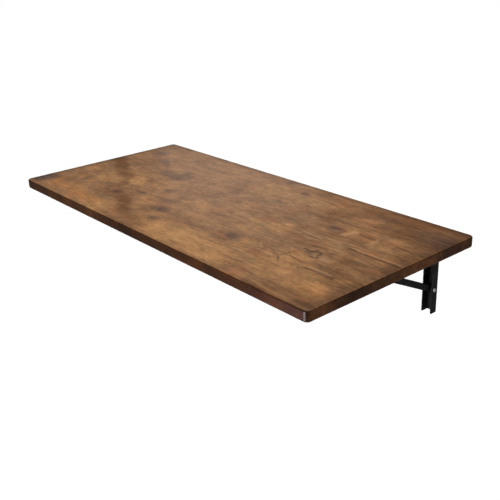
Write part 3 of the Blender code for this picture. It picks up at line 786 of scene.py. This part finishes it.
def capRings(bm, rings):
    # a solid from rings of points, closed at both ends
    bridgeRings(bm, rings)
    bm.faces.new(rings[0])
    bm.faces.new(rings[-1])


def turnProfile(bm, profile, sides, ring=False):
    # points (radius, x) turned round the x axis, radius 0 is a pole
    rings = []
    for radius, x in profile:
        circle = circlePoints((0, 0), radius, sides) if radius else [(0, 0)]
        rings.append([bm.verts.new((x, y, z)) for y, z in circle])
    bridgeRings(bm, rings + rings[:1] if ring else rings)


def objectFrom(name, bm):
    bmesh.ops.recalc_face_normals(bm, faces=bm.faces)
    mesh = bpy.data.meshes.new(name)
    bm.to_mesh(mesh)
    bm.free()
    obj = bpy.data.objects.new(name, mesh)
    bpy.context.scene.collection.objects.link(obj)
    return obj


def shapedMesh(obj):
    # its mesh with the modifiers applied
    graph = bpy.context.evaluated_depsgraph_get()
    return bpy.data.meshes.new_from_object(obj.evaluated_get(graph))


def evenMesh(name, bm, smoothTo=35.0, cutter=None):
    # smooth shading that keeps wide flats flat, after an optional cut
    maker = objectFrom(name, bm)
    blank = maker.data
    if cutter:
        cut = maker.modifiers.new("cut", "BOOLEAN")
        cut.operation = "DIFFERENCE"
        cut.solver = "EXACT"
        cut.object = cutter
    shaped = shapedMesh(maker)
    shaped.shade_smooth()
    shaped.set_sharp_from_angle(angle=math.radians(smoothTo))
    maker.modifiers.clear()
    maker.data = shaped
    level = maker.modifiers.new("evenNormals", "WEIGHTED_NORMAL")
    level.keep_sharp = True
    done = shapedMesh(maker)
    done.name = name
    bpy.data.objects.remove(maker)
    for spare in (blank, shaped):
        bpy.data.meshes.remove(spare)
    if cutter:
        bpy.data.objects.remove(cutter)
    return done


def fit(name, mesh, node, place=(0, 0, 0), twist=None):
    # the finished piece stands for its CAD node and moves with that node's body, or, given a twist, stays
    # fixed where it is placed
    piece = bpy.data.objects.new(name, mesh)
    piece.location = place
    bpy.context.scene.collection.objects.link(piece)
    mesh.materials.clear()
    mesh.materials.append(finishes[slotOf[node]])
    if twist:
        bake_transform(piece)
    else:
        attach(piece, bodyOf[node])
    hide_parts(node)


def middleOf(node):
    low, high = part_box(node)
    return (low + high) / 2


sides = ("left", "right")
screwNumbers = range(1, 5)      # four screws in each arm

# worktop panel with softly rounded corners and edges, and pilot holes for the arm screws
panel = {
    "cornerRadius": 0.012,
    "edgeRadius": 0.005,
    "cornerSteps": 12,
    "edgeSteps": 7,
    "flatRim": 0.002,       # narrow flat ring inside the rounding
    "pilotRadius": 0.0023,
    "pilotDepth": 0.0183,
    "pilotStart": 0.004,    # the drill starts this far below the panel
    "pilotSides": 16,
    "smoothTo": 40.0,       # degrees
}


def makePanel():
    low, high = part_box("worktop")
    radius, edge = panel["cornerRadius"], panel["edgeRadius"]
    rim = edge + panel["flatRim"]
    bm = bmesh.new()

    def outline(inset, z):
        ring = []
        corners = ((high.x, high.y), (low.x, high.y), (low.x, low.y), (high.x, low.y))
        for quarter, (x, y) in enumerate(corners):
            middle = (x - math.copysign(radius, x), y - radius if y == high.y else y + radius)
            start = 90 * quarter
            for u, v in arcPoints(middle, radius - inset, start, start + 90, panel["cornerSteps"]):
                ring.append(bm.verts.new((u, v, z)))
        return ring

    rounding = arcPoints((0, 0), edge, 0, 90, panel["edgeSteps"])
    rings = [outline(rim, low.z)]
    rings += [outline(edge - out, low.z + edge - up) for out, up in reversed(rounding)]
    rings += [outline(edge - out, high.z - edge + up) for out, up in rounding]
    rings.append(outline(rim, high.z))
    capRings(bm, rings)

    drill = bmesh.new()
    for side in sides:
        for number in screwNumbers:
            spot = middleOf(f"arm_screw_{side}_{number}")
            circle = circlePoints((spot.x, spot.y), panel["pilotRadius"], panel["pilotSides"])
            wall = []
            for z in (low.z - panel["pilotStart"], low.z + panel["pilotDepth"]):
                wall.append([drill.verts.new((x, y, z)) for x, y in circle])
            capRings(drill, wall)
    mesh = evenMesh("panel", bm, panel["smoothTo"], objectFrom("cutter", drill))
    fit("panel", mesh, "worktop")


makePanel()
print("panel made")

# bracket pressings: the CAD sheet with its cut edges broken, as tumbled and coated sheet has
pressings = {
    "names": {"wall_channel": "wallChannel", "arm": "arm", "brace": "brace", "lock_yoke": "lockYoke"},
    "weld": 0.00001,        # points closer than this become one
    "flatWithin": 0.5,      # degrees, flatter joins between faces are taken out
    "breakWidth": 0.00035,
    "breakSteps": 2,
    "breakProfile": 0.6,
    "breakFrom": 40.0,      # degrees between faces
}


def makePressing(node, name):
    bm = bmesh.new()
    bm.from_mesh(frame["nodes"][node].data)
    bmesh.ops.remove_doubles(bm, verts=bm.verts, dist=pressings["weld"])
    flat = math.radians(pressings["flatWithin"])
    bmesh.ops.dissolve_limit(bm, angle_limit=flat, verts=bm.verts, edges=bm.edges)
    sharp = math.radians(pressings["breakFrom"])
    corners = [edge for edge in bm.edges if edge.is_manifold and edge.calc_face_angle() > sharp]
    bmesh.ops.bevel(bm, geom=corners, offset=pressings["breakWidth"], offset_type="OFFSET",
                    segments=pressings["breakSteps"], profile=pressings["breakProfile"],
                    affect="EDGES", clamp_overlap=True)
    fit(name, evenMesh(name, bm), node)


for side in sides:
    for node, name in pressings["names"].items():
        makePressing(f"{node}_{side}", name + side.title())
print("bracket pressings made")

# rivets, studs and pins, turned with smooth heads
rivets = {
    "cross": (0.003, 0.0035),       # radius of the shank, height of a head
    "yoke": (0.002, 0.0016),
    "stud": (0.003, 0.0022),
    "rim": 0.30,            # straight share of a head's height
    "chamfer": 0.0004,
    "domeSteps": 7,
    "sides": 32,
}


def domeProfile(radius, base, height):
    rim = base + rivets["rim"] * height
    crown = arcPoints((0, 0), 1.0, 0, 90, rivets["domeSteps"])
    profile = [(radius - rivets["chamfer"] / 2, base), (radius, base + rivets["chamfer"] / 2)]
    profile += [(radius * out, rim + (base + height - rim) * up) for out, up in crown[:-1]]
    return profile + [(0, base + height)]


def fitMirrored(name, node, right):
    # the right half of a profile, mirrored, turned and put in the middle of its node
    bm = bmesh.new()
    turnProfile(bm, [(radius, -x) for radius, x in reversed(right)] + right, rivets["sides"])
    fit(name, evenMesh(name, bm), node, middleOf(node))


def makeRivet(name, node, kind):
    low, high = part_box(node)
    shank, head = rivets[kind]
    seat = (high.x - low.x) / 2 - head
    fitMirrored(name, node, [(shank, seat), *domeProfile((high.y - low.y) / 2, seat, head)])


def makeEndPin(name, node):
    low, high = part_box(node)
    half, chamfer, shank = (high.x - low.x) / 2, rivets["chamfer"], rivets["cross"][0]
    fitMirrored(name, node, [(shank, half - chamfer), (shank - chamfer, half), (0, half)])


def makeStud(name, node, outward):
    low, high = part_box(node)
    shank, head = rivets["stud"]
    chamfer = rivets["chamfer"]
    seat = high.x - low.x - head
    profile = [(0, 0), (shank - chamfer, 0), (shank, chamfer), (shank, seat)]
    profile += domeProfile((high.y - low.y) / 2, seat, head)
    bm = bmesh.new()
    turnProfile(bm, [(radius, outward * x) for radius, x in profile], rivets["sides"])
    place = middleOf(node)
    place.x = low.x if outward > 0 else high.x      # its inner end
    fit(name, evenMesh(name, bm), node, place)


for side in sides:
    title = side.title()
    for part, kind in (("hinge", "cross"), ("brace", "cross"), ("yoke", "yoke")):
        makeRivet(f"{part}Rivet{title}", f"{part}_pin_{side}", kind)
    makeEndPin(f"braceEndPin{title}", f"brace_end_pin_{side}")
    for hand, outward in (("l", -1), ("r", 1)):
        makeStud(f"slideStud{title}{hand.upper()}", f"slide_stud_{side}_{hand}", outward)
print("rivets, studs and pins made")

# nylon sleeves that centre the brace
sleeve = {"bore": 0.0033, "chamfer": 0.0006, "sides": 32}


def makeSleeve(name, node):
    low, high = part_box(node)
    half, outer, chamfer = (high.x - low.x) / 2, (high.y - low.y) / 2, sleeve["chamfer"]
    section = [(sleeve["bore"], -half), (outer - chamfer, -half), (outer, chamfer - half)]
    section += [(outer, half - chamfer), (outer - chamfer, half), (sleeve["bore"], half)]
    bm = bmesh.new()
    turnProfile(bm, section, sleeve["sides"], ring=True)
    fit(name, evenMesh(name, bm), node, middleOf(node))


for side in sides:
    for hand in ("l", "r"):
        makeSleeve(f"sleeve{side.title()}{hand.upper()}", f"brace_spacer_{side}_{hand}")
print("sleeves made")

# arm screws: low pan head with a cross recess, head down
armScrew = {
    "headHeight": 0.0022,
    "headFlat": 0.35,       # flat share of the head's radius
    "headCrown": 0.8,       # crowned share of its height
    "headSteps": 6,
    "shank": 0.002,
    "point": 0.005,
    "recessWide": 0.0011,
    "recessLong": 0.0048,
    "recessDeep": 0.0013,
    "recessOver": 0.001,    # the cut starts this far over the head
    "recessMouth": 0.55,    # half of its size there, a little over
    "recessFloor": 0.30,    # and at its floor
    "sides": 32,
}


def makeScrew(name, node):
    low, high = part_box(node)
    length = high.z - low.z
    head, headRadius, shank = armScrew["headHeight"], (high.x - low.x) / 2, armScrew["shank"]
    flat, crowned = armScrew["headFlat"], armScrew["headCrown"] * head
    crown = arcPoints((0, 0), 1.0, 90, 0, armScrew["headSteps"])
    profile = [(0, 0)]
    profile += [(headRadius * (flat + (1 - flat) * out), crowned * (1 - up)) for out, up in crown]
    profile += [(headRadius, head), (shank, head), (shank, length - armScrew["point"]), (0, length)]
    bm = bmesh.new()
    turnProfile(bm, profile, armScrew["sides"])
    cross = bmesh.new()
    rings = []
    mouth = (-armScrew["recessOver"], armScrew["recessMouth"])
    floor = (armScrew["recessDeep"], armScrew["recessFloor"])
    for x, share in (mouth, floor):
        far, near = share * armScrew["recessLong"], share * armScrew["recessWide"]
        spots = [(far, -near), (far, near), (near, near)]
        for turn in range(3):
            spots += [(-v, u) for u, v in spots[-3:]]
        rings.append([cross.verts.new((x, u, v)) for u, v in spots])
    capRings(cross, rings)
    mesh = evenMesh(name, bm, cutter=objectFrom("cutter", cross))
    mesh.transform(Matrix.Rotation(-math.pi / 2, 4, "Y"))
    place = middleOf(node)
    place.z = low.z         # under its head
    fit(name, mesh, node, place)


for side in sides:
    for number in screwNumbers:
        makeScrew(f"armScrew{side.title()}{number}", f"arm_screw_{side}_{number}")
print("arm screws made")

# torsion spring round the yoke rivet, wound from round wire
yokeSpring = {
    "wire": 0.0006,         # radius
    "coil": 0.0031,         # radius to the wire's middle
    "pitch": 0.0018,
    "turns": 4,
    "upperLeg": (0.014, 0.0088),        # tips, out and up from the coil's axis
    "lowerLeg": (0.018, -0.0070),
    "tipTaper": 0.0003,
    "stepsPerTurn": 28,
    "sides": 10,
    "smoothTo": 50.0,       # degrees
}


def leaveAngle(tip, way):
    # where a straight leg to the tip leaves the coil
    return math.atan2(tip[1], tip[0]) + way * math.acos(yokeSpring["coil"] / math.hypot(*tip))


def makeSpring(name, node, yokeBody):
    wire, coil, taper = yokeSpring["wire"], yokeSpring["coil"], yokeSpring["tipTaper"]
    upper, lower = yokeSpring["upperLeg"], yokeSpring["lowerLeg"]
    start = leaveAngle(upper, 1)
    end = leaveAngle(lower, -1) + math.tau * (yokeSpring["turns"] + 1)
    half = yokeSpring["pitch"] * (end - start) / math.tau / 2
    steps = round((end - start) / math.tau * yokeSpring["stepsPerTurn"])
    wound = []              # the wire's middle as x, out, up, then its angle and radius
    for step in range(steps + 1):
        angle = start + (end - start) * step / steps
        x = (2 * step / steps - 1) * half
        wound.append((x, coil * math.cos(angle), coil * math.sin(angle), angle, wire))
    legs = []
    for tip, root in ((upper, wound[0]), (lower, wound[-1])):
        x, out, up, angle = root[:4]
        near = 1 - taper / math.hypot(tip[0] - out, tip[1] - up)
        full = (x, out + near * (tip[0] - out), up + near * (tip[1] - up), angle, wire)
        legs.append([full, (x, *tip, angle, wire - taper)])
    bm = bmesh.new()
    rings = []
    for x, out, up, angle, radius in legs[0][::-1] + wound + legs[1]:
        ring = []
        for u, v in circlePoints((0, 0), radius, yokeSpring["sides"]):
            ring.append(bm.verts.new((x + v, -out - u * math.cos(angle), up + u * math.sin(angle))))
        rings.append(ring)
    capRings(bm, rings)
    middle = middleOf(node.replace("spring", "pin"))
    reach = Vector((half, 0, 0))
    twist = (yokeBody, middle - reach, middle + reach)
    fit(name, evenMesh(name, bm, yokeSpring["smoothTo"]), node, middle, twist)


for side in sides:
    makeSpring(f"yokeSpring{side.title()}", f"yoke_spring_{side}", f"yoke_{side}")
print("springs made")
